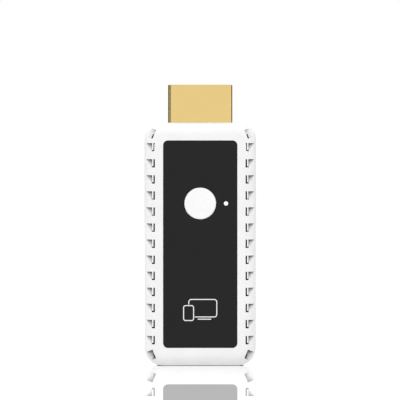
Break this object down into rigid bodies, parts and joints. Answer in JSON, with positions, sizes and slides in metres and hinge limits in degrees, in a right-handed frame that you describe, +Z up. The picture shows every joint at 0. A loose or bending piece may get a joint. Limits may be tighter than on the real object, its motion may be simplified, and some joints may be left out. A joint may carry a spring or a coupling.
{
  "type": "streaming media player",
  "caption": "Slim white upright stick with a gold-plated HDMI plug on top, a dark face panel with a round push button and indicator, ramped side vents, and a micro-USB power socket below.",
  "frame": {"origin": "middle of the housing's lower end face, on which it stands", "axes": "+Z up along the HDMI plug, the face panel looks along -Y, +X to the right seen from the front"},
  "size_m": [0.024, 0.012, 0.0606],
  "materials": {
    "white_shell": "satin moulded white plastic",
    "panel": "smooth dark acrylic sheet",
    "tape": "matt black foam tape",
    "white_button": "satin moulded white plastic",
    "light_pipe": "clear moulded rod with a frosted end",
    "lamp": "clear epoxy",
    "gold_plate": "smooth gold plating",
    "black_moulding": "matt black moulding",
    "steel": "plain sheet steel",
    "spring_steel": "bright spring steel",
    "board": "green solder mask",
    "chip": "matt black epoxy",
    "tinned": "tinned copper",
    "thermal_pad": "soft grey silicone",
    "aluminium": "extruded aluminium",
    "ceramic": "fired ceramic"
  },
  "bodies": {
    "housing": {"front_shell": "white_shell", "rear_shell": "white_shell", "face_panel": "panel", "panel_tape": "tape", "switch_base": "black_moulding", "switch_cover": "steel", "switch_dome": "spring_steel", "switch_terminals": "tinned", "light_pipe": "light_pipe", "status_led": "lamp", "hdmi_shell": "gold_plate", "hdmi_insert": "black_moulding", "hdmi_contacts": "gold_plate", "usb_shell": "steel", "usb_insert": "black_moulding", "usb_contacts": "gold_plate", "main_board": "board", "board_screws": "steel", "processor": "chip", "thermal_pad": "thermal_pad", "heat_sink": "aluminium", "memory_chip": "chip", "radio_chip": "chip", "shield_frame": "tinned", "shield_lid": "tinned", "wifi_antenna": "tinned", "flash_chip": "chip", "power_regulator": "chip", "crystal": "tinned", "power_inductors": "ceramic", "capacitors": "ceramic", "resistors": "chip", "line_filters": "ceramic"},
    "button": {"button_cap": "white_button"},
    "plunger": {"switch_plunger": "black_moulding"}
  },
  "joints": [
    {"name": "button_press", "type": "slide", "parent": "housing", "child": "button", "axis": [0, 1, 0], "range_m": [0, 0.0003], "stiffness_N_per_m": 5000},
    {"name": "plunger_press", "type": "slide", "parent": "housing", "child": "plunger", "axis": [0, 1, 0], "range_m": [0, 0.0003], "deforming": ["switch_dome"]}
  ],
  "couplings": [
    {"joint": "plunger_press", "follows": "button_press", "ratio": 1}
  ]
}
